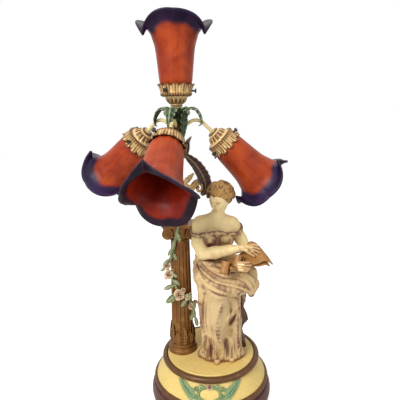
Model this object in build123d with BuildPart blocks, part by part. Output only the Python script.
from build123d import *
import os
from math import cos, pi, radians, sin

# Figural table lamp: a seated classical lady beside an Ionic column on a round
# moulded base, a leafy stem above the column with three arms, and four blown
# glass shades (one up, three hanging outwards).  Millimetres, +Z up, the origin
# in the middle of the underside, the front of the lamp towards -Y.

os.makedirs("parts", exist_ok=True)

# ------------------------------------------------------------ driving sizes
CLEARANCE = 0.15            # radial clearance of a part slipped over a pipe
RUNNING_CLEARANCE = 0.1     # radial clearance of a screw that moves in its hole
SCREW_TIP_GAP = 0.3         # a loosened thumbscrew's tip to the neck of the glass

# base
FELT_THICKNESS = 2.0
PLATE_THICKNESS = 3.0
PLATE_RADIUS = 125.7
PLATE_REBATE = 126.0
PLINTH_FOOT_RADIUS = 132.0
PLINTH_RADIUS = 136.0
PLINTH_TOP = 47.0
PLINTH_INNER_RADIUS = 120.0
LOWER_BEAD_RADIUS = 130.0
LOWER_BEAD_HEIGHT = 12.0
DOME_BOTTOM_RADIUS = 123.5
DOME_TOP_RADIUS = 105.0
DOME_WALL = 7.0
UPPER_BEAD_RADIUS = 109.5
UPPER_BEAD_HEIGHT = 14.0
UPPER_BEAD_INNER = 98.2
DISC_TOP = 108.0            # the floor that the column and the rock stand on
DISC_RADIUS = 97.6
BASE_SCREW_COUNT = 4
BASE_SCREW_RADIUS = 1.6
BASE_SCREW_LENGTH = 12.0
GROMMET_RADIUS = 6.0
GROMMET_HEIGHT = 26.0
CORD_HOLE_RADIUS = 3.2
RELIEF_WIDTH = 50.0         # cartouche on the front of the dome
RELIEF_HEIGHT = 24.0

# column and lamp pipe
COLUMN_X = -64.0
COLUMN_Y = 8.0
PIPE_RADIUS = 5.0
PIPE_BOTTOM = 86.0
NUT_FLATS = 16.0
NUT_HEIGHT = 8.0
WASHER_RADIUS = 14.0
WASHER_THICKNESS = 2.0
COLUMN_BASE_RADIUS = 32.5
COLUMN_BASE_HEIGHT = 21.0
SHAFT_BOTTOM_RADIUS = 25.1
SHAFT_TOP_RADIUS = 20.6
SHAFT_TOP = 371.0
FLUTE_COUNT = 16
FLUTE_RADIUS = 3.3
FLUTE_MARGIN = 7.0          # plain shaft left above and below each flute
CAPITAL_TOP = 408.0
ABACUS_HALF_WIDTH = 37.0
ABACUS_HALF_DEPTH = 28.0
ABACUS_THICKNESS = 8.0
VOLUTE_RADIUS = 12.0
VOLUTE_BITE = 1.0           # how far a scroll roll runs up into the abacus
VOLUTE_OFFSET = 25.0
VOLUTE_HALF_LENGTH = 25.0

# stem above the column
STEM_CASTING_TOP = 578.0
LOWER_CROWN_HEIGHT = 22.0
HUB_HEIGHT = 20.0
HUB_RADIUS = 13.0
UPPER_CROWN_HEIGHT = 30.0
NECK_SPACER_HEIGHT = 3.0

# arms: azimuth is counted from +X towards +Y, depression below the horizontal
ARM_RADIUS = 3.6
ARM_BEND_RADIUS = 24.0
ARM_STRAIGHT = 45.0         # from the bend's corner to the foot of the bell
ARM_COLLAR_RADIUS = 7.0
ARM_COLLAR_HEIGHT = 3.0
ARM_ROOT = 8.0              # distance of an arm's inner end from the stem axis
ARMS = {
    # name: azimuth, depression, reach from the stem, height, first lip corner
    "right": (12.0, 44.0, 75.0, 600.0, -10.0),
    "left": (150.0, 42.0, 76.0, 602.0, 31.0),
    "front": (261.0, 42.0, 65.0, 605.0, -50.0),
}
TOP_LIP_CORNER = 60.0

# shade holder, along its own axis from the foot of the bell
BELL_FOOT_RADIUS = 12.0
BELL_RADIUS = 23.0
BELL_WALL = 1.8
FLOOR_BOTTOM = 20.0
FLOOR_THICKNESS = 2.5
CUP_INNER_RADIUS = 29.6
CUP_WALL = 2.0
CUP_RIM_RADIUS = 36.4
CUP_RIM_HEIGHT = 44.0
PETAL_COUNT = 12
PETAL_NOTCH_RADIUS = 3.6
BELL_FLUTE_COUNT = 14
SOCKET_RADIUS = 9.8
SOCKET_HEIGHT = 38.0
SOCKET_BORE_RADIUS = 6.1    # takes a 12 mm candelabra bulb cap
SOCKET_BORE_DEPTH = 24.0

# thumbscrews that hold the glass
SCREW_COUNT = 3
SCREW_RADIUS = 1.9
SCREW_HEIGHT = 30.0         # above the foot of the bell
SCREW_BOSS_RADIUS = 4.2
SCREW_BOSS_REACH = 35.0
SCREW_HEAD_RADIUS = 4.5
SCREW_HEAD_THICKNESS = 3.0
SCREW_HEAD_GAP = 3.0
SCREW_TRAVEL = 6.0

# blown shade: outer radius at each height above the foot of the bell
GLASS_THICKNESS = 3.0
NECK_RADIUS = 28.5          # 57 mm fitter
NECK_BOTTOM = FLOOR_BOTTOM + FLOOR_THICKNESS
NECK_LIP_HEIGHT = 4.0
NECK_GROOVE_RADIUS = 27.3
NECK_TOP = 41.0
SHADE_LOBES = 3
SECTIONS_PER_LOBE = 7
SHADE_BODY = [(28.4, 38.5), (31.4, 44.0), (33.5, 52.0), (35.6, 74.0),
              (37.7, 96.0), (40.3, 115.0), (44.0, 128.0)]
LIP_MIDDLE = [(48.0, 142.0), (53.0, 160.0), (59.5, 178.0)]
LIP_CORNER = [(50.0, 138.0), (61.0, 146.5), (74.0, 145.0)]
LIP_SHARPNESS = 2.4         # larger keeps the lobe high until close to its corner

# leaves of the stem: radius from the stem axis, height above the disc, width
UPRIGHT_LEAF_AZIMUTHS = (81.0, 228.0, 318.0)
UPRIGHT_LEAF = [(10.5, 472, 9), (14.5, 490, 13), (18.0, 508, 15), (19.0, 524, 14),
                (24.0, 535, 10), (31.0, 531, 2)]
CURLING_LEAF_AZIMUTHS = (6.0, 162.0, 256.0)
CURLING_LEAF = [(6.5, 515, 8), (14.0, 529, 14), (23.0, 540, 19), (35.0, 541, 19),
                (46.0, 531, 14), (52.0, 511, 2)]
LEAF_THICKNESS = 2.6
# big side leaf and its small companion: X, height above the disc, width
SIDE_LEAF_Y = 2.0
SIDE_LEAF = [(-58, 436, 6), (-44, 446, 12), (-24, 441, 17), (-10, 424, 20), (-6, 403, 19),
             (-11, 383, 13), (-19, 364, 2)]
SICKLE_LEAF = [(-57, 440, 7), (-46, 450, 12), (-40, 463, 10), (-36, 474, 6), (-32, 482, 2)]
SPIKE_LEAF = [(-58, 384, 5), (-48, 391, 9), (-39, 400, 7), (-31, 408, 2)]
SCROLL_TUBE_RADIUS = 3.3
SCROLL_RADII = (22.0, 11.0, 5.5)
SCROLL_CENTRE = (-35.0, 400.0)
SCROLL_Y = 1.0
SCROLL_START = 155.0        # angle on the wide arc where the stalk joins it
SCROLL_ROOT = 6.0           # its stalk starts this far beside the stem axis
SCROLL_RISE = 4.0

# garland that winds down the column: X, Y, height above the disc
GARLAND_RADIUS = 2.0
GARLAND = [(-66, -21.0, 298), (-71, -18.3, 279), (-76, -11.8, 255), (-83, -5.2, 229), (-93, -4, 208),
           (-88, -6.5, 187), (-77, -12.6, 168), (-68, -16.0, 147), (-51, -13.3, 137),
           (-41, -4.0, 114), (-36, 1, 88), (-33, 2, 74)]
GARLAND_BEND = 9.0
ROSES = [(-94, -6, 208, 8.0), (-90, -10, 188, 8.8), (-68, -20, 145, 10.5), (-49, -17, 138, 6.5),
         (-41, -6, 113, 8.6)]
GARLAND_LEAVES = [(-68.5, -20, 289, -60, 22), (-81, -6.7, 236, -120, 18),
                  (-74, -14.5, 160, -20, 16), (-52, -14, 137, 222, 34), (-38, -1.5, 98, -70, 22)]

# rock and figure, heights above the disc
ROCK_SIDES = 9
ROCK = [(0, 33, 24, 57, 40), (28, 34, 24, 58, 40), (75, 33, 20, 52, 37), (130, 34, 17, 47, 35),
        (176, 33, 13, 43, 33)]
SKIRT_FOLDS = 9
SKIRT = [(0, 27, -36, 49, 27), (14, 27, -37, 47, 26), (70, 31, -42, 42, 29), (125, 39, -47, 44, 32),
         (168, 45, -50, 46, 33)]
LAP_FOLDS = 7
LAP = [(30, 31, 188, 40, 21), (2, 33, 187, 62, 28), (-35, 41, 183, 63, 32), (-68, 46, 174, 54, 30),
       (-92, 47, 166, 34, 20)]
TORSO = [(198, 30, 2, 40, 27), (222, 27, -3, 30, 21), (250, 22, -10, 32, 21), (278, 17, -17, 37, 23),
         (296, 16, -19, 38, 18), (307, 15, -19, 29, 14), (313, 14, -19, 15, 11)]
NECK_POINTS = ((14, -20, 308), (19, -23, 338))
NECK_RADII = (10.5, 9.0)
HEAD_CENTRE = (22, -26, 358)
# along the head's axis, forwards of it, half depth, half width
HEAD_LAYERS = [(-27, 9, 6, 6), (-22, 8, 12, 10), (-12, 5, 17, 15), (0, 1, 21, 18), (12, -1, 22, 19),
               (21, -2, 17, 15), (27, -3, 7, 7)]
NOSE_LAYERS = [(-8, 22, 4.2), (4, 20, 2.2)]
FACE_TURN = 235.0           # azimuth that the face looks to
FACE_DROP = 18.0            # degrees that it looks down
HAIR_LAYERS = [(-16, -17, 9, 13), (-6, -13, 18, 21), (6, -9, 23, 25), (18, -8, 24, 25),
               (28, -9, 18, 19), (34, -10, 8, 8)]
BUN_CENTRE = (-32, 5, -4)
BUN_RADIUS = 12.0
RIGHT_ARM = [(-22, -32, 296, 10.5), (-15, -38, 239, 8.5), (50, -68, 268, 5.2), (68, -80, 273, 4.6)]
LEFT_ARM = [(54, -12, 292, 10.5), (84, -20, 238, 8.5), (74, -72, 238, 5.2), (66, -88, 240, 4.8)]
HAND_LENGTH = 17.0
SHEET_THICKNESS = 2.4
SHEET_DEPTH = 40.0
SHEET_FRONT = -104.0
SHEET_PATH = [(22, 232), (44, 238), (66, 251), (84, 260), (97, 276), (107, 266), (118, 250)]
SHEET_BEND = 5.0
SHEET_ROLLS = [(17, 238, 7.5), (35, 242.2, 5.6)]

# ------------------------------------------------------------ derived places
PLATE_TOP = FELT_THICKNESS + PLATE_THICKNESS
LOWER_BEAD_TOP = PLINTH_TOP + LOWER_BEAD_HEIGHT
UPPER_BEAD_BOTTOM = DISC_TOP - UPPER_BEAD_HEIGHT
SHAFT_BOTTOM = DISC_TOP + COLUMN_BASE_HEIGHT
PIPE_BORE = PIPE_RADIUS + CLEARANCE
SCREW_CIRCLE = (PLINTH_INNER_RADIUS + PLATE_REBATE) / 2 - 0.2
SCREW_HOLE_RADIUS = SCREW_RADIUS + RUNNING_CLEARANCE
HUB_BOTTOM = STEM_CASTING_TOP + LOWER_CROWN_HEIGHT
HUB_TOP = HUB_BOTTOM + HUB_HEIGHT
ARM_ROOT_HEIGHT = HUB_BOTTOM + HUB_HEIGHT / 2 - 1
UPPER_CROWN_TOP = HUB_TOP + UPPER_CROWN_HEIGHT
TOP_FOOT = UPPER_CROWN_TOP + NECK_SPACER_HEIGHT
STEM = Axis((COLUMN_X, COLUMN_Y, 0), (0, 0, 1))
COLUMN_SECTION = Plane((COLUMN_X, COLUMN_Y, 0), x_dir=(1, 0, 0), z_dir=(0, -1, 0))
BASE_SECTION = Plane.XZ



def save(builder, label):
    """Name a finished piece and write it as one STEP file."""
    builder.part.label = label
    export_step(builder.part, "parts/" + label + ".step")


def level(height):
    """Horizontal plane at a height, centred on the column."""
    return Plane((COLUMN_X, COLUMN_Y, height))


def polygon(section, points):
    """Closed polygon of radius and height, ready to turn about an axis."""
    with BuildSketch(section) as outline:
        with BuildLine():
            Polyline(*points, close=True)
        make_face()
    return outline.sketch


# ------------------------------------------------------------ base
def make_felt_pad():
    with BuildPart() as felt_pad:
        with BuildSketch(Plane.XY):
            Circle(PLINTH_FOOT_RADIUS - 2)
        extrude(amount=FELT_THICKNESS)
    save(felt_pad, "felt_pad")


def make_base_plate():
    with BuildPart() as base_plate:
        with BuildSketch(Plane.XY.offset(FELT_THICKNESS)):
            Circle(PLATE_RADIUS)
            with PolarLocations(SCREW_CIRCLE, BASE_SCREW_COUNT, start_angle=45):
                Circle(BASE_SCREW_RADIUS + CLEARANCE, mode=Mode.SUBTRACT)
        extrude(amount=PLATE_THICKNESS)
    save(base_plate, "base_plate")


def make_base_screws():
    with BuildPart() as base_screws:
        with BuildSketch(Plane.XY.offset(FELT_THICKNESS)):
            with PolarLocations(SCREW_CIRCLE, BASE_SCREW_COUNT, start_angle=45):
                Circle(BASE_SCREW_RADIUS)
        extrude(amount=BASE_SCREW_LENGTH)
    save(base_screws, "base_screws")


def make_base_plinth():
    """Dark turned moulding: a foot, a large torus and a fillet under the bead."""
    torus_height = (FELT_THICKNESS + PLINTH_TOP) / 2
    with BuildPart() as base_plinth:
        with BuildSketch(BASE_SECTION):
            with BuildLine():
                Polyline((PLINTH_INNER_RADIUS, PLINTH_TOP), (PLINTH_INNER_RADIUS, PLATE_TOP),
                         (PLATE_REBATE, PLATE_TOP), (PLATE_REBATE, FELT_THICKNESS),
                         (PLINTH_FOOT_RADIUS, FELT_THICKNESS), (PLINTH_FOOT_RADIUS, 8))
                ThreePointArc((PLINTH_FOOT_RADIUS, 8), (PLINTH_RADIUS, torus_height),
                              (PLINTH_FOOT_RADIUS - 1, PLINTH_TOP - 6))
                Polyline((PLINTH_FOOT_RADIUS - 1, PLINTH_TOP - 6),
                         (LOWER_BEAD_RADIUS - 3, PLINTH_TOP - 5),
                         (LOWER_BEAD_RADIUS - 3, PLINTH_TOP), (PLINTH_INNER_RADIUS, PLINTH_TOP))
            make_face()
        revolve(axis=Axis.Z)
        with BuildSketch(Plane.XY.offset(PLATE_TOP)):
            with PolarLocations(SCREW_CIRCLE, BASE_SCREW_COUNT, start_angle=45):
                Circle(BASE_SCREW_RADIUS)
        extrude(amount=FELT_THICKNESS + BASE_SCREW_LENGTH - PLATE_TOP, mode=Mode.SUBTRACT)
        with BuildSketch(Plane.XZ.offset(-PLINTH_INNER_RADIUS + 10)):
            with Locations((0, GROMMET_HEIGHT)):
                Circle(GROMMET_RADIUS)
        extrude(amount=-40, mode=Mode.SUBTRACT)
    save(base_plinth, "base_plinth")


def make_cord_grommet():
    """Bushing in the rear of the plinth where the flex would leave."""
    with BuildPart() as cord_grommet:
        with BuildSketch(Plane.XZ.offset(-(PLINTH_INNER_RADIUS + 1))):
            with Locations((0, GROMMET_HEIGHT)):
                Circle(GROMMET_RADIUS - 0.05)
                Circle(CORD_HOLE_RADIUS, mode=Mode.SUBTRACT)
        extrude(amount=-(PLINTH_RADIUS - PLINTH_INNER_RADIUS - 1 + 0.4))
        with BuildSketch(Plane.XZ.offset(-(PLINTH_RADIUS + 0.4))):
            with Locations((0, GROMMET_HEIGHT)):
                Circle(GROMMET_RADIUS + 1.6)
                Circle(CORD_HOLE_RADIUS, mode=Mode.SUBTRACT)
        extrude(amount=-1.2)
    save(cord_grommet, "cord_grommet")


def make_lower_bead():
    middle = PLINTH_TOP + LOWER_BEAD_HEIGHT / 2
    shoulder = LOWER_BEAD_RADIUS - LOWER_BEAD_HEIGHT / 2
    with BuildPart() as base_lower_bead:
        with BuildSketch(BASE_SECTION):
            with BuildLine():
                Polyline((shoulder, LOWER_BEAD_TOP), (PLINTH_INNER_RADIUS, LOWER_BEAD_TOP),
                         (PLINTH_INNER_RADIUS, PLINTH_TOP), (shoulder, PLINTH_TOP))
                ThreePointArc((shoulder, PLINTH_TOP), (LOWER_BEAD_RADIUS, middle),
                              (shoulder, LOWER_BEAD_TOP))
            make_face()
        revolve(axis=Axis.Z)
    save(base_lower_bead, "base_lower_bead")


def make_base_dome():
    """Painted casting: sloping shoulder, ledge for the upper bead, flat disc."""
    inner_bottom = DOME_BOTTOM_RADIUS - DOME_WALL
    inner_top = DOME_TOP_RADIUS - DOME_WALL - 2
    shoulder = [(inner_bottom, LOWER_BEAD_TOP), (DOME_BOTTOM_RADIUS, LOWER_BEAD_TOP),
                (DOME_BOTTOM_RADIUS - 1, LOWER_BEAD_TOP + 3),
                (DOME_TOP_RADIUS, UPPER_BEAD_BOTTOM - 2), (DOME_TOP_RADIUS - 1, UPPER_BEAD_BOTTOM),
                (DISC_RADIUS, UPPER_BEAD_BOTTOM), (DISC_RADIUS, DISC_TOP - 1.5),
                (DISC_RADIUS - 1.5, DISC_TOP), (0, DISC_TOP), (0, DISC_TOP - DOME_WALL - 1),
                (inner_top - 8, DISC_TOP - DOME_WALL - 1), (inner_top, UPPER_BEAD_BOTTOM - 6)]
    with BuildPart() as base_dome:
        revolve(polygon(BASE_SECTION, shoulder), axis=Axis.Z)
        with BuildSketch(level(DISC_TOP)):
            Circle(PIPE_BORE)
        extrude(amount=-DOME_WALL - 2, mode=Mode.SUBTRACT)
    save(base_dome, "base_dome")
    return base_dome


def make_base_relief(dome):
    """Oval cartouche with a scrolled frame, a rosette and two palm sprays."""
    slope = DOME_BOTTOM_RADIUS - DOME_TOP_RADIUS
    rise = UPPER_BEAD_BOTTOM - LOWER_BEAD_TOP
    outward = Vector(0, -rise, slope).normalized()
    middle_radius = (DOME_BOTTOM_RADIUS + DOME_TOP_RADIUS) / 2
    middle = Vector(-6, -middle_radius, (LOWER_BEAD_TOP + UPPER_BEAD_BOTTOM) / 2)
    face = Plane(middle - outward * 6, x_dir=(1, 0, 0), z_dir=outward)
    with BuildPart() as base_relief:
        with BuildSketch(face):
            Ellipse(RELIEF_WIDTH / 2, RELIEF_HEIGHT / 2)
        extrude(amount=8.5)
        with BuildSketch(face.offset(8.5)):
            Ellipse(RELIEF_WIDTH / 2 - 4, RELIEF_HEIGHT / 2 - 3.5)
        extrude(amount=-1.5, mode=Mode.SUBTRACT)
        with BuildSketch(face.offset(8.5)):
            with Locations((0, RELIEF_HEIGHT / 2 - 1)):
                Circle(3.6)
        extrude(amount=2)
        for side in (-1, 1):
            for frond, (reach, lift) in enumerate(((30, 11), (38, 5), (42, -2), (40, -9))):
                turned = face.shift_origin(face.from_local_coords((side * reach, lift, 0)))
                with BuildSketch(turned):
                    with Locations(Rotation(0, 0, side * (38 - frond * 17))):
                        Ellipse(12, 3.2)
                extrude(amount=8.0)
        add(dome.part, mode=Mode.SUBTRACT)
    save(base_relief, "base_relief")


def make_upper_bead():
    top = DISC_TOP
    middle = top - UPPER_BEAD_HEIGHT / 2
    foot = DOME_TOP_RADIUS - 1.5
    with BuildPart() as base_upper_bead:
        with BuildSketch(BASE_SECTION):
            with BuildLine():
                Polyline((foot, UPPER_BEAD_BOTTOM), (UPPER_BEAD_INNER, UPPER_BEAD_BOTTOM),
                         (UPPER_BEAD_INNER, top - 3))
                ThreePointArc((UPPER_BEAD_INNER, top - 3), (UPPER_BEAD_INNER + 4.5, top - 0.4),
                              (UPPER_BEAD_RADIUS, middle))
                ThreePointArc((UPPER_BEAD_RADIUS, middle), (UPPER_BEAD_RADIUS - 2, middle - 5),
                              (foot, UPPER_BEAD_BOTTOM))
            make_face()
        revolve(axis=Axis.Z)
    save(base_upper_bead, "base_upper_bead")


def make_pipe_nut():
    """Washer and hexagon nut that pull the whole stack down on the pipe."""
    under_disc = DISC_TOP - DOME_WALL - 1
    with BuildPart() as pipe_washer:
        with BuildSketch(level(under_disc)):
            Circle(WASHER_RADIUS)
            Circle(PIPE_BORE, mode=Mode.SUBTRACT)
        extrude(amount=-WASHER_THICKNESS)
    save(pipe_washer, "pipe_washer")
    with BuildPart() as pipe_nut:
        with BuildSketch(level(under_disc - WASHER_THICKNESS)):
            RegularPolygon(NUT_FLATS / 2, 6, major_radius=False)
            Circle(PIPE_BORE, mode=Mode.SUBTRACT)
        extrude(amount=-NUT_HEIGHT)
    save(pipe_nut, "pipe_nut")


# ------------------------------------------------------------ column
def make_column_base():
    foot = DISC_TOP
    with BuildPart() as column_base:
        with BuildSketch(COLUMN_SECTION):
            with BuildLine():
                Polyline((PIPE_BORE, SHAFT_BOTTOM), (PIPE_BORE, foot), (COLUMN_BASE_RADIUS, foot),
                         (COLUMN_BASE_RADIUS, foot + 4))
                ThreePointArc((COLUMN_BASE_RADIUS, foot + 4), (COLUMN_BASE_RADIUS - 0.6, foot + 8),
                              (COLUMN_BASE_RADIUS - 3, foot + 10))
                ThreePointArc((COLUMN_BASE_RADIUS - 3, foot + 10), (COLUMN_BASE_RADIUS - 5, foot + 12),
                              (COLUMN_BASE_RADIUS - 4.4, foot + 14.5))
                ThreePointArc((COLUMN_BASE_RADIUS - 4.4, foot + 14.5),
                              (COLUMN_BASE_RADIUS - 3, foot + 17), (COLUMN_BASE_RADIUS - 5, foot + 19.5))
                Polyline((COLUMN_BASE_RADIUS - 5, foot + 19.5), (SHAFT_BOTTOM_RADIUS, SHAFT_BOTTOM),
                         (PIPE_BORE, SHAFT_BOTTOM))
            make_face()
        revolve(axis=STEM)
    save(column_base, "column_base")


def shaft_radius(height):
    share = (height - SHAFT_BOTTOM) / (SHAFT_TOP - SHAFT_BOTTOM)
    return SHAFT_BOTTOM_RADIUS + (SHAFT_TOP_RADIUS - SHAFT_BOTTOM_RADIUS) * share


def make_column_shaft():
    low, high = SHAFT_BOTTOM + FLUTE_MARGIN, SHAFT_TOP - FLUTE_MARGIN
    with BuildPart() as flute:
        with BuildSketch(Plane.XY.offset(low)):
            with Locations((shaft_radius(low) + FLUTE_RADIUS * 0.25, 0)):
                Circle(FLUTE_RADIUS)
        with BuildSketch(Plane.XY.offset(high)):
            with Locations((shaft_radius(high) + FLUTE_RADIUS * 0.2, 0)):
                Circle(FLUTE_RADIUS * SHAFT_TOP_RADIUS / SHAFT_BOTTOM_RADIUS)
        loft()
    with BuildPart() as column_shaft:
        revolve(polygon(COLUMN_SECTION, [
            (PIPE_BORE, SHAFT_BOTTOM), (SHAFT_BOTTOM_RADIUS, SHAFT_BOTTOM),
            (SHAFT_TOP_RADIUS, SHAFT_TOP), (PIPE_BORE, SHAFT_TOP)]), axis=STEM)
        with Locations((COLUMN_X, COLUMN_Y)):
            with PolarLocations(0, FLUTE_COUNT):
                add(flute.part, mode=Mode.SUBTRACT)
    save(column_shaft, "column_shaft")


def make_column_capital():
    """Ionic capital: necking, echinus, a pair of scroll rolls and the abacus."""
    abacus_bottom = CAPITAL_TOP - ABACUS_THICKNESS
    volute_height = abacus_bottom - VOLUTE_RADIUS + VOLUTE_BITE
    with BuildPart() as column_capital:
        revolve(polygon(COLUMN_SECTION, [
            (PIPE_BORE, SHAFT_TOP), (SHAFT_TOP_RADIUS + 1.5, SHAFT_TOP),
            (SHAFT_TOP_RADIUS + 2.5, SHAFT_TOP + 2), (SHAFT_TOP_RADIUS + 0.5, SHAFT_TOP + 4),
            (SHAFT_TOP_RADIUS + 5.5, SHAFT_TOP + 11), (SHAFT_TOP_RADIUS + 6, abacus_bottom),
            (PIPE_BORE, abacus_bottom)]), axis=STEM)
        for side in (-1, 1):
            for reach in (VOLUTE_HALF_LENGTH, -VOLUTE_HALF_LENGTH + 1.5):
                end = Plane((COLUMN_X, COLUMN_Y - reach, 0), x_dir=(1, 0, 0), z_dir=(0, -1, 0))
                with BuildSketch(end):
                    with Locations((side * VOLUTE_OFFSET, volute_height)):
                        Circle(VOLUTE_RADIUS)
                        Circle(VOLUTE_RADIUS - 2.4, mode=Mode.SUBTRACT)
                        Circle(VOLUTE_RADIUS - 5.2)
                        Circle(VOLUTE_RADIUS - 7.6, mode=Mode.SUBTRACT)
                        Circle(2.2)
                extrude(amount=1.5 if reach > 0 else -1.5)
            with BuildSketch(Plane((COLUMN_X, COLUMN_Y - VOLUTE_HALF_LENGTH, 0),
                                   x_dir=(1, 0, 0), z_dir=(0, -1, 0))):
                with Locations((side * VOLUTE_OFFSET, volute_height)):
                    Circle(VOLUTE_RADIUS)
            extrude(amount=-2 * VOLUTE_HALF_LENGTH + 1.5)
        with BuildSketch(level(abacus_bottom)):
            Rectangle(2 * ABACUS_HALF_WIDTH - 4, 2 * ABACUS_HALF_DEPTH - 4)
        extrude(amount=ABACUS_THICKNESS / 2)
        with BuildSketch(level(abacus_bottom + ABACUS_THICKNESS / 2)):
            Rectangle(2 * ABACUS_HALF_WIDTH, 2 * ABACUS_HALF_DEPTH)
        extrude(amount=ABACUS_THICKNESS / 2)
        with BuildSketch(level(SHAFT_TOP)):
            Circle(PIPE_BORE)
        extrude(amount=CAPITAL_TOP - SHAFT_TOP, mode=Mode.SUBTRACT)
    save(column_capital, "column_capital")
    return column_capital


# ------------------------------------------------------------ stem
def make_lamp_pipe():
    with BuildPart() as lamp_pipe:
        with BuildSketch(level(PIPE_BOTTOM)):
            Circle(PIPE_RADIUS)
            Circle(PIPE_RADIUS - 1.2, mode=Mode.SUBTRACT)
        extrude(amount=TOP_FOOT + FLOOR_BOTTOM + FLOOR_THICKNESS - PIPE_BOTTOM)
    save(lamp_pipe, "lamp_pipe")


def make_stem_casting():
    """Turned baluster between the capital and the leaves."""
    foot, top = CAPITAL_TOP, STEM_CASTING_TOP
    with BuildPart() as stem_casting:
        with BuildSketch(COLUMN_SECTION):
            with BuildLine():
                Polyline((PIPE_BORE, top), (PIPE_BORE, foot), (18, foot), (18, foot + 5))
                Spline((18, foot + 5), (10, foot + 14), (12.5, foot + 34), (8, foot + 58),
                       (7.5, foot + 96), (8.5, foot + 128))
                ThreePointArc((8.5, foot + 128), (12, foot + 134), (8.5, foot + 140))
                Spline((8.5, foot + 140), (8.5, top - 18), (10.5, top))
                Line((10.5, top), (PIPE_BORE, top))
            make_face()
        revolve(axis=STEM)
    save(stem_casting, "stem_casting")
    return stem_casting


def make_hub():
    with BuildPart() as hub:
        revolve(polygon(COLUMN_SECTION, [
            (PIPE_BORE, HUB_BOTTOM), (HUB_RADIUS - 2, HUB_BOTTOM), (HUB_RADIUS, HUB_BOTTOM + 2),
            (HUB_RADIUS, HUB_TOP - 2), (HUB_RADIUS - 2, HUB_TOP), (PIPE_BORE, HUB_TOP)]),
            axis=STEM)
        for name in ARMS:
            with BuildSketch(arm_root_plane(name)):
                Circle(ARM_RADIUS + 2)
            extrude(amount=HUB_RADIUS + 1.5 - ARM_ROOT)
            with BuildSketch(arm_root_plane(name)):
                Circle(ARM_RADIUS + CLEARANCE)
            extrude(amount=HUB_RADIUS + 8 - ARM_ROOT, mode=Mode.SUBTRACT)
        with BuildSketch(level(HUB_BOTTOM)):
            Circle(PIPE_BORE)
        extrude(amount=HUB_HEIGHT, mode=Mode.SUBTRACT)
    save(hub, "hub")
    return hub


def arm_points(name):
    """Root, bend corner and bell foot of an arm, in radius and height."""
    azimuth, depression, reach, height, corner = ARMS[name]
    bend = (reach - ARM_STRAIGHT * cos(radians(depression)),
            height + ARM_STRAIGHT * sin(radians(depression)))
    return (ARM_ROOT, ARM_ROOT_HEIGHT), bend, (reach, height)


def arm_section(name):
    """Upright plane through the stem in the arm's direction."""
    azimuth = radians(ARMS[name][0])
    outward = (cos(azimuth), sin(azimuth), 0)
    return Plane((COLUMN_X, COLUMN_Y, 0), x_dir=outward, z_dir=(sin(azimuth), -cos(azimuth), 0))


def arm_root_plane(name):
    section = arm_section(name)
    root, bend, foot = arm_points(name)
    start = section.from_local_coords((root[0], root[1], 0))
    towards = section.from_local_coords((bend[0], bend[1], 0))
    return Plane(start, x_dir=section.z_dir, z_dir=towards - start)


def light_plane(name):
    """Foot of the bell: Z runs along the shade, X downwards (forwards on top)."""
    if name == "top":
        return Plane((COLUMN_X, COLUMN_Y, TOP_FOOT), x_dir=(0, -1, 0), z_dir=(0, 0, 1))
    azimuth, depression, reach, height, corner = ARMS[name]
    az, dep = radians(azimuth), radians(depression)
    foot = (COLUMN_X + reach * cos(az), COLUMN_Y + reach * sin(az), height)
    down = (-sin(dep) * cos(az), -sin(dep) * sin(az), -cos(dep))
    along = (cos(dep) * cos(az), cos(dep) * sin(az), -sin(dep))
    return Plane(foot, x_dir=down, z_dir=along)


def make_arm(name):
    section = arm_section(name)
    root, bend, foot = arm_points(name)
    light = light_plane(name)
    end = FLOOR_BOTTOM + FLOOR_THICKNESS
    tip = section.to_local_coords(light.from_local_coords((0, 0, end)))
    with BuildPart() as arm:
        with BuildLine(section):
            FilletPolyline(root, bend, (tip.X, tip.Y), radius=ARM_BEND_RADIUS)
        with BuildSketch(arm_root_plane(name)):
            Circle(ARM_RADIUS)
            Circle(ARM_RADIUS - 1.1, mode=Mode.SUBTRACT)
        sweep()
        with BuildSketch(light.offset(-ARM_COLLAR_HEIGHT)):
            Circle(ARM_COLLAR_RADIUS)
            Circle(ARM_RADIUS - 0.5, mode=Mode.SUBTRACT)
        extrude(amount=ARM_COLLAR_HEIGHT)
    save(arm, "arm_" + name)


# ------------------------------------------------------------ lights
def half_plane(light, angle):
    """Half-plane through a light's axis: X outwards at the angle, Y along."""
    turn = radians(angle)
    outward = light.x_dir * cos(turn) + light.y_dir * sin(turn)
    return Plane(light.origin, x_dir=outward, z_dir=outward.cross(light.z_dir))


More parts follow.
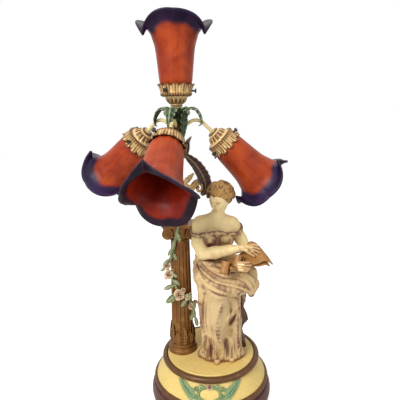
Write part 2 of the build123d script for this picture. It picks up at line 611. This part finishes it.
def make_holder(name, light, bore):
    """Fluted bell, floor and petal gallery in one casting, with three bosses."""
    axis = Axis(light.origin, light.z_dir)
    floor_top = FLOOR_BOTTOM + FLOOR_THICKNESS
    cup_outer = CUP_INNER_RADIUS + CUP_WALL
    with BuildPart() as holder:
        with BuildSketch(half_plane(light, 0)):
            with BuildLine():
                Polyline((bore, floor_top), (bore, FLOOR_BOTTOM),
                         (BELL_RADIUS - BELL_WALL - 1, FLOOR_BOTTOM))
                ThreePointArc((BELL_RADIUS - BELL_WALL - 1, FLOOR_BOTTOM),
                              (BELL_RADIUS - BELL_WALL - 4, 11), (BELL_FOOT_RADIUS - 1, 4))
                Polyline((BELL_FOOT_RADIUS - 1, 4), (bore, 4), (bore, 0), (BELL_FOOT_RADIUS, 0),
                         (BELL_FOOT_RADIUS, 3), (BELL_FOOT_RADIUS + 0.8, 4.5))
                ThreePointArc((BELL_FOOT_RADIUS + 0.8, 4.5), (BELL_RADIUS - 3, 10.5),
                              (BELL_RADIUS, FLOOR_BOTTOM - 1))
                Polyline((BELL_RADIUS, FLOOR_BOTTOM - 1), (cup_outer, FLOOR_BOTTOM),
                         (cup_outer, SCREW_HEIGHT + 2), (CUP_RIM_RADIUS, CUP_RIM_HEIGHT),
                         (CUP_RIM_RADIUS - CUP_WALL, CUP_RIM_HEIGHT),
                         (CUP_INNER_RADIUS, SCREW_HEIGHT + 3), (CUP_INNER_RADIUS, floor_top),
                         (bore, floor_top))
            make_face()
        revolve(axis=axis)
        for step in range(PETAL_COUNT):
            ray = half_plane(light, step * 360 / PETAL_COUNT + TOP_LIP_CORNER)
            across = Plane(ray.from_local_coords((CUP_INNER_RADIUS - 4, CUP_RIM_HEIGHT + 0.5)),
                           x_dir=ray.z_dir, z_dir=ray.x_dir)
            with BuildSketch(across):
                Circle(PETAL_NOTCH_RADIUS)
            extrude(amount=20, mode=Mode.SUBTRACT)
        for step in range(BELL_FLUTE_COUNT):
            ray = half_plane(light, step * 360 / BELL_FLUTE_COUNT)
            lean = Plane(ray.from_local_coords((BELL_FOOT_RADIUS + 2.2, 5)), x_dir=ray.z_dir,
                         z_dir=ray.x_dir * (BELL_RADIUS - BELL_FOOT_RADIUS) + ray.y_dir * 14)
            with BuildSketch(lean):
                with Locations((0, -1.2)):
                    Circle(1.5)
            extrude(amount=15, mode=Mode.SUBTRACT)
        for step in range(SCREW_COUNT):
            seat = screw_plane(light, step)
            with BuildSketch(seat.offset(CUP_INNER_RADIUS + CUP_WALL / 2)):
                Circle(SCREW_BOSS_RADIUS)
            extrude(amount=SCREW_BOSS_REACH - CUP_INNER_RADIUS - CUP_WALL / 2)
            with BuildSketch(seat.offset(CUP_INNER_RADIUS - 2)):
                Circle(SCREW_HOLE_RADIUS)
            extrude(amount=SCREW_BOSS_REACH, mode=Mode.SUBTRACT)
    save(holder, "holder_" + name)


def screw_plane(light, step):
    """Plane on the light's axis whose Z runs out along a thumbscrew."""
    ray = half_plane(light, step * 360 / SCREW_COUNT + 90)
    return Plane(ray.from_local_coords((0, SCREW_HEIGHT)), x_dir=ray.z_dir, z_dir=ray.x_dir)


def make_thumbscrew(name, light, step):
    seat = screw_plane(light, step)
    tip = NECK_GROOVE_RADIUS + SCREW_TIP_GAP
    head = SCREW_BOSS_REACH + SCREW_HEAD_GAP
    with BuildPart() as thumbscrew:
        with BuildSketch(seat.offset(tip)):
            Circle(SCREW_RADIUS)
        extrude(amount=head - tip)
        with BuildSketch(seat.offset(head)):
            RegularPolygon(SCREW_HEAD_RADIUS, 12)
        extrude(amount=SCREW_HEAD_THICKNESS)
    save(thumbscrew, "thumbscrew_" + name + "_" + str(step + 1))


def make_socket(name, light):
    floor_top = FLOOR_BOTTOM + FLOOR_THICKNESS
    with BuildPart() as socket:
        with BuildSketch(light.offset(floor_top)):
            Circle(SOCKET_RADIUS)
        extrude(amount=SOCKET_HEIGHT)
        with BuildSketch(light.offset(floor_top + SOCKET_HEIGHT)):
            Circle(SOCKET_BORE_RADIUS)
        extrude(amount=-SOCKET_BORE_DEPTH, mode=Mode.SUBTRACT)
        with BuildSketch(light.offset(floor_top + 6)):
            Circle(SOCKET_RADIUS + 1.5)
            Circle(SOCKET_RADIUS - 1, mode=Mode.SUBTRACT)
        extrude(amount=2)
    save(socket, "socket_" + name)


def lip_share(offset):
    """0 in the middle of a lobe, 1 at its corner."""
    return abs(offset) ** LIP_SHARPNESS


def glass_outline(offset):
    """Outer profile of the glass, from the neck to the rim."""
    share = lip_share(offset)
    lip = [(m[0] + (c[0] - m[0]) * share, m[1] + (c[1] - m[1]) * share)
           for m, c in zip(LIP_MIDDLE, LIP_CORNER)]
    return SHADE_BODY + lip


def inner_outline(outer):
    """The outer profile moved inwards by the thickness of the glass."""
    inner = []
    for index, point in enumerate(outer):
        before = outer[max(index - 1, 0)]
        after = outer[min(index + 1, len(outer) - 1)]
        along = Vector(after[0] - before[0], after[1] - before[1]).normalized()
        inner.append((point[0] - along.Y * GLASS_THICKNESS, point[1] + along.X * GLASS_THICKNESS))
    return inner


def make_shade(name, light, first_corner):
    """Blown glass: a collared neck and three lobes, each lofted round the axis."""
    axis = Axis(light.origin, light.z_dir)
    bore = NECK_RADIUS - GLASS_THICKNESS
    lobe_angle = 360 / SHADE_LOBES
    with BuildPart() as shade:
        revolve(polygon(half_plane(light, 0), [
            (bore - 0.4, NECK_BOTTOM), (NECK_RADIUS, NECK_BOTTOM),
            (NECK_RADIUS, NECK_BOTTOM + NECK_LIP_HEIGHT - 1),
            (NECK_GROOVE_RADIUS, NECK_BOTTOM + NECK_LIP_HEIGHT), (NECK_GROOVE_RADIUS, SCREW_HEIGHT + 4),
            (NECK_RADIUS + 0.5, SCREW_HEIGHT + 6), (NECK_RADIUS + 0.5, NECK_TOP),
            (bore - 0.4, NECK_TOP)]), axis=axis)
        for lobe in range(SHADE_LOBES):
            sections = []
            for step in range(SECTIONS_PER_LOBE):
                share = step / (SECTIONS_PER_LOBE - 1)
                outer = glass_outline(2 * share - 1)
                inner = inner_outline(outer)
                angle = first_corner + (lobe + share) * lobe_angle
                with BuildSketch(half_plane(light, angle), mode=Mode.PRIVATE) as section:
                    with BuildLine():
                        Line(inner[0], outer[0])
                        Spline(*outer)
                        Line(outer[-1], inner[-1])
                        Spline(*reversed(inner))
                    make_face()
                sections.append(section.sketch)
            loft(sections)
    save(shade, "shade_" + name)


def make_lights():
    lip_corners = {"top": TOP_LIP_CORNER, **{name: ARMS[name][4] for name in ARMS}}
    for name, first_corner in lip_corners.items():
        light = light_plane(name)
        make_holder(name, light, PIPE_BORE if name == "top" else ARM_RADIUS + CLEARANCE)
        make_socket(name, light)
        make_shade(name, light, first_corner)
        for step in range(SCREW_COUNT):
            make_thumbscrew(name, light, step)


# ------------------------------------------------------------ leaves and scrolls
def along_path(points, index):
    """Direction of a path at one of its points."""
    before = points[max(index - 1, 0)]
    after = points[min(index + 1, len(points) - 1)]
    return (after - before).normalized()


def leaf_sections(points, widths, side, tilt):
    """Curved lens sections down a leaf; tilt turns its face about the midrib."""
    sections = []
    for index, (point, width) in enumerate(zip(points, widths)):
        forward = along_path(points, index)
        flat = side.cross(forward)
        across = flat * cos(radians(tilt)) + side * sin(radians(tilt))
        half, thick = width / 2, min(LEAF_THICKNESS, width / 2.5)
        with BuildSketch(Plane(point, x_dir=across, z_dir=forward)) as section:
            with BuildLine():
                ThreePointArc((-half, 0), (0, width * 0.14 + thick / 2), (half, 0))
                ThreePointArc((half, 0), (0, width * 0.14 - thick / 2), (-half, 0))
            make_face()
        sections.append(section.sketch)
    return sections


def crown_leaf(azimuth, outline):
    turn = radians(azimuth)
    outward, side = Vector(cos(turn), sin(turn), 0), Vector(-sin(turn), cos(turn), 0)
    centre = Vector(COLUMN_X, COLUMN_Y, DISC_TOP)
    points = [centre + outward * radius + Vector(0, 0, height) for radius, height, width in outline]
    return leaf_sections(points, [width for radius, height, width in outline], side, 90)


def side_leaf(outline, tilt):
    points = [Vector(x, SIDE_LEAF_Y, DISC_TOP + height) for x, height, width in outline]
    return leaf_sections(points, [width for x, height, width in outline], Vector(0, 1, 0), tilt)


def make_lower_crown():
    """Calyx under the hub with three upright leaves between the arms."""
    bottom, top = STEM_CASTING_TOP, HUB_BOTTOM
    with BuildPart() as leaf_crown_lower:
        revolve(polygon(COLUMN_SECTION, [
            (PIPE_BORE, bottom), (10.5, bottom), (12.5, bottom + 6), (11, top - 6), (12.5, top),
            (PIPE_BORE, top)]), axis=STEM)
        for azimuth in UPRIGHT_LEAF_AZIMUTHS:
            loft(crown_leaf(azimuth, UPRIGHT_LEAF))
        with BuildSketch(level(bottom - 10)):
            Circle(PIPE_BORE)
        extrude(amount=top - bottom + 10, mode=Mode.SUBTRACT)
        add(stem_casting.part, mode=Mode.SUBTRACT)
        add(hub.part, mode=Mode.SUBTRACT)
    save(leaf_crown_lower, "leaf_crown_lower")


def make_upper_crown():
    """Sleeve above the hub with a long leaf curling over each arm."""
    with BuildPart() as leaf_crown_upper:
        revolve(polygon(COLUMN_SECTION, [
            (PIPE_BORE, HUB_TOP), (10, HUB_TOP), (11, HUB_TOP + 8), (7.5, HUB_TOP + 20),
            (8.5, UPPER_CROWN_TOP - 3), (7, UPPER_CROWN_TOP), (PIPE_BORE, UPPER_CROWN_TOP)]),
            axis=STEM)
        for azimuth in CURLING_LEAF_AZIMUTHS:
            loft(crown_leaf(azimuth, CURLING_LEAF))
        with BuildSketch(level(HUB_TOP)):
            Circle(PIPE_BORE)
        extrude(amount=UPPER_CROWN_HEIGHT, mode=Mode.SUBTRACT)
    save(leaf_crown_upper, "leaf_crown_upper")
    with BuildPart() as neck_spacer:
        with BuildSketch(level(UPPER_CROWN_TOP)):
            Circle(PIPE_RADIUS + 2.5)
            Circle(PIPE_BORE, mode=Mode.SUBTRACT)
        extrude(amount=NECK_SPACER_HEIGHT)
    save(neck_spacer, "neck_spacer")


def make_side_leaves():
    with BuildPart() as acanthus_leaves:
        loft(side_leaf(SIDE_LEAF, 25))
        loft(side_leaf(SICKLE_LEAF, 40))
        add(stem_casting.part, mode=Mode.SUBTRACT)
    save(acanthus_leaves, "acanthus_leaves")


def make_stem_scroll():
    """C-scroll of three joined arcs with a spike leaf beside it."""
    wide, middle, small = SCROLL_RADII
    centre_x, height = SCROLL_CENTRE
    section = Plane((centre_x, SCROLL_Y, DISC_TOP + height), x_dir=(1, 0, 0), z_dir=(0, -1, 0))
    with BuildPart() as stem_scroll:
        with BuildLine(section) as spine:
            Line((COLUMN_X + SCROLL_ROOT - centre_x,
                  wide * sin(radians(SCROLL_START)) + SCROLL_RISE),
                 (wide * cos(radians(SCROLL_START)), wide * sin(radians(SCROLL_START))))
            CenterArc((0, 0), wide, SCROLL_START, 360 - SCROLL_START)
            CenterArc((wide - middle, 0), middle, 0, 180)
            CenterArc((wide - 2 * middle + small, 0), small, 180, 110)
        with BuildSketch(Plane(spine.line @ 0, z_dir=spine.line % 0)):
            Circle(SCROLL_TUBE_RADIUS)
        sweep()
        loft(side_leaf(SPIKE_LEAF, 20))
        add(stem_casting.part, mode=Mode.SUBTRACT)
    save(stem_scroll, "stem_scroll")


# ------------------------------------------------------------ garland
def rose(centre, radius):
    """Three tiers of petals, each a pentagon turned against the one below."""
    x, y, height = centre
    base = Plane((x, y + radius * 0.5, DISC_TOP + height), x_dir=(1, 0, 0), z_dir=(0, -1, 0))
    with BuildPart() as bloom:
        for tier, (share, depth) in enumerate(((1.0, 0.5), (0.72, 0.35), (0.42, 0.3))):
            with BuildSketch(base.offset(radius * (0, 0.45, 0.75)[tier])):
                RegularPolygon(radius * share, 5, rotation=tier * 36)
            extrude(amount=radius * depth, taper=18)
    return bloom.part


def make_garland(capital):
    path = [(x, y, DISC_TOP + height) for x, y, height in GARLAND]
    start, after = Vector(*path[0]), Vector(*path[1])
    column_room = polygon(COLUMN_SECTION, [
        (0, SHAFT_BOTTOM), (SHAFT_BOTTOM_RADIUS, SHAFT_BOTTOM), (SHAFT_TOP_RADIUS, SHAFT_TOP),
        (0, SHAFT_TOP)])
    with BuildPart() as garland_roses:
        for x, y, height, radius in ROSES:
            add(rose((x, y, height), radius))
        revolve(column_room, axis=STEM, mode=Mode.SUBTRACT)
        add(capital.part, mode=Mode.SUBTRACT)
    save(garland_roses, "garland_roses")
    with BuildPart() as garland_vine:
        with BuildLine():
            FilletPolyline(*path, radius=GARLAND_BEND)
        with BuildSketch(Plane(start, z_dir=after - start)):
            Circle(GARLAND_RADIUS)
        sweep()
        for x, y, height, angle, length in GARLAND_LEAVES:
            turn = radians(angle)
            root = Vector(x, y, DISC_TOP + height)
            forward = Vector(cos(turn), -0.15, sin(turn))
            points = [root + forward * length * share for share in (0, 0.35, 0.7, 1)]
            loft(leaf_sections(points, (4, length * 0.42, length * 0.34, 1.5), Vector(0, 1, 0), 10))
        add(garland_roses.part, mode=Mode.SUBTRACT)
        revolve(column_room, axis=STEM, mode=Mode.SUBTRACT)
        add(capital.part, mode=Mode.SUBTRACT)
    save(garland_vine, "garland_vine")


# ------------------------------------------------------------ rock and figure
def folded_outline(centre, half_sizes, folds, depth, phase):
    """Points of an ellipse whose edge rises and falls in folds."""
    points = []
    count = folds * 4
    for step in range(count):
        angle = 2 * pi * step / count
        swell = 1 + depth * cos(folds * angle + phase)
        points.append((centre[0] + half_sizes[0] * swell * cos(angle),
                       centre[1] + half_sizes[1] * swell * sin(angle)))
    return points


def draped_section(plane, centre, half_sizes, folds, depth, phase=0.0):
    with BuildSketch(plane) as section:
        with BuildLine():
            Spline(*folded_outline(centre, half_sizes, folds, depth, phase), periodic=True)
        make_face()
    return section.sketch


def make_rock():
    with BuildPart() as rock_seat:
        sections = []
        for layer, (height, x, y, half_width, half_depth) in enumerate(ROCK):
            points = []
            for corner in range(ROCK_SIDES):
                angle = 2 * pi * (corner + 0.18 * layer) / ROCK_SIDES
                rough = 1 - 0.07 * (1 + sin(2.3 * corner + 1.7 * layer)) / 2
                points.append((x + half_width * rough * cos(angle),
                               y + half_depth * rough * sin(angle)))
            with BuildSketch(Plane.XY.offset(DISC_TOP + height), mode=Mode.PRIVATE) as section:
                with BuildLine():
                    Polyline(*points, close=True)
                make_face()
            sections.append(section.sketch)
        loft(sections, ruled=True)
    save(rock_seat, "rock_seat")
    return rock_seat


def make_skirt(rock):
    with BuildPart() as figure_skirt:
        loft([draped_section(Plane.XY.offset(DISC_TOP + height), (x, y), (half_width, half_depth),
                             SKIRT_FOLDS, 0.07) for height, x, y, half_width, half_depth in SKIRT])
        for toe in ((2, -60), (52, -60)):
            with BuildSketch(Plane((toe[0], toe[1], DISC_TOP))):
                Ellipse(7, 11)
            extrude(amount=8, taper=25)
        add(rock.part, mode=Mode.SUBTRACT)
    save(figure_skirt, "figure_skirt")
    return figure_skirt


def make_lap(rock, skirt):
    with BuildPart() as figure_lap_drape:
        loft([draped_section(Plane.XZ.offset(-y), (x, DISC_TOP + height), (half_width, half_height),
                             LAP_FOLDS, 0.04, 0.6) for y, x, height, half_width, half_height in LAP])
        add(rock.part, mode=Mode.SUBTRACT)
        add(skirt.part, mode=Mode.SUBTRACT)
    save(figure_lap_drape, "figure_lap_drape")
    return figure_lap_drape


def limb_section(start, end, at_end, radius):
    plane = Plane(end if at_end else start, z_dir=end - start)
    with BuildSketch(plane) as section:
        Circle(radius)
    return section.sketch


def figure_point(point):
    return Vector(point[0], point[1], DISC_TOP + point[2])


def make_torso(lap):
    """Bodice with its off-shoulder band, the bust and the neck."""
    with BuildPart() as figure_torso:
        sections = []
        for height, x, y, half_width, half_depth in TORSO:
            with BuildSketch(Plane.XY.offset(DISC_TOP + height), mode=Mode.PRIVATE) as section:
                with Locations((x, y)):
                    Ellipse(half_width, half_depth)
            sections.append(section.sketch)
        loft(sections)
        low, high = figure_point(NECK_POINTS[0]), figure_point(NECK_POINTS[1])
        loft([limb_section(low, high, False, NECK_RADII[0]),
              limb_section(low, high, True, NECK_RADII[1])])
        for x in (4, 30):
            with Locations(figure_point((x, -29, 280))):
                Sphere(12.5)
        add(lap.part, mode=Mode.SUBTRACT)
    save(figure_torso, "figure_torso")
    return figure_torso


def head_plane():
    """Through the middle of the head: X towards the face, Z to the crown."""
    turn, drop = radians(FACE_TURN), radians(FACE_DROP)
    ahead = (cos(turn) * cos(drop), sin(turn) * cos(drop), -sin(drop))
    crown = (cos(turn) * sin(drop), sin(turn) * sin(drop), cos(drop))
    return Plane(figure_point(HEAD_CENTRE), x_dir=ahead, z_dir=crown)


def oval_sections(head, layers):
    """Stacked ovals across the head's own axis, from chin to crown."""
    sections = []
    for height, ahead, half_depth, half_width in layers:
        origin = head.from_local_coords((ahead, 0, height))
        with BuildSketch(Plane(origin, x_dir=head.x_dir, z_dir=head.z_dir)) as section:
            Ellipse(half_depth, half_width)
        sections.append(section.sketch)
    return sections


def make_head(torso):
    """Egg-shaped head with a plain wedge of a nose and a rounded chin."""
    head = head_plane()
    with BuildPart() as figure_head:
        loft(oval_sections(head, HEAD_LAYERS))
        nose = []
        for height, ahead, size in NOSE_LAYERS:
            origin = head.from_local_coords((ahead, 0, height))
            with BuildSketch(Plane(origin, x_dir=head.y_dir, z_dir=head.z_dir),
                             mode=Mode.PRIVATE) as section:
                RegularPolygon(size, 3, rotation=-90)
            nose.append(section.sketch)
        loft(nose, ruled=True)
        add(torso.part, mode=Mode.SUBTRACT)
    save(figure_head, "figure_head")
    return figure_head


def make_hair(head_builder, torso):
    """Upswept mass behind the face with a knot low at the back."""
    head = head_plane()
    with BuildPart() as figure_hair:
        loft(oval_sections(head, HAIR_LAYERS))
        with Locations(head.from_local_coords(BUN_CENTRE)):
            Sphere(BUN_RADIUS)
        add(head_builder.part, mode=Mode.SUBTRACT)
        add(torso.part, mode=Mode.SUBTRACT)
    save(figure_hair, "figure_hair")
    return figure_hair


def make_scroll():
    """Sheet with two rolled ends, extruded across the lap."""
    with BuildPart() as music_scroll:
        with BuildSketch(Plane.XZ.offset(-SHEET_FRONT)):
            with BuildLine() as edge:
                FilletPolyline(*[(x, DISC_TOP + height) for x, height in SHEET_PATH],
                               radius=SHEET_BEND)
            trace(edge.line, line_width=SHEET_THICKNESS)
            for x, height, radius in SHEET_ROLLS:
                with Locations((x, DISC_TOP + height)):
                    Circle(radius)
                    Circle(radius - SHEET_THICKNESS, mode=Mode.SUBTRACT)
        extrude(amount=-SHEET_DEPTH)
    save(music_scroll, "music_scroll")
    return music_scroll


def make_figure_arm(name, joints, neighbours):
    """Upper arm, forearm and a mitten of a hand, rounded at each joint."""
    points = [figure_point(joint) for joint in joints]
    with BuildPart() as figure_arm:
        for index in range(len(points) - 1):
            start, end = points[index], points[index + 1]
            loft([limb_section(start, end, False, joints[index][3]),
                  limb_section(start, end, True, joints[index + 1][3])])
        for point, joint in zip(points, joints):
            with Locations(point):
                Sphere(joint[3] + 0.01)
        hand = (points[-1] - points[-2]).normalized()
        with BuildSketch(Plane(points[-1], x_dir=(0, 0, 1), z_dir=hand)):
            SlotOverall(10, 6, rotation=90)
        extrude(amount=HAND_LENGTH, taper=6)
        for neighbour in neighbours:
            add(neighbour.part, mode=Mode.SUBTRACT)
    save(figure_arm, "figure_arm_" + name)
    return figure_arm


make_felt_pad()
make_base_plate()
make_base_screws()
make_base_plinth()
make_cord_grommet()
make_lower_bead()
base_dome = make_base_dome()
make_base_relief(base_dome)
make_upper_bead()
make_pipe_nut()
make_column_base()
make_column_shaft()
capital = make_column_capital()
make_lamp_pipe()
stem_casting = make_stem_casting()
hub = make_hub()
for arm_name in ARMS:
    make_arm(arm_name)
make_lights()
make_lower_crown()
make_upper_crown()
make_side_leaves()
make_stem_scroll()
make_garland(capital)
rock = make_rock()
skirt = make_skirt(rock)
lap = make_lap(rock, skirt)
torso = make_torso(lap)
head = make_head(torso)
hair = make_hair(head, torso)
scroll = make_scroll()
right_arm = make_figure_arm("right", RIGHT_ARM, [torso, lap, scroll, capital])
make_figure_arm("left", LEFT_ARM, [torso, lap, scroll, right_arm])
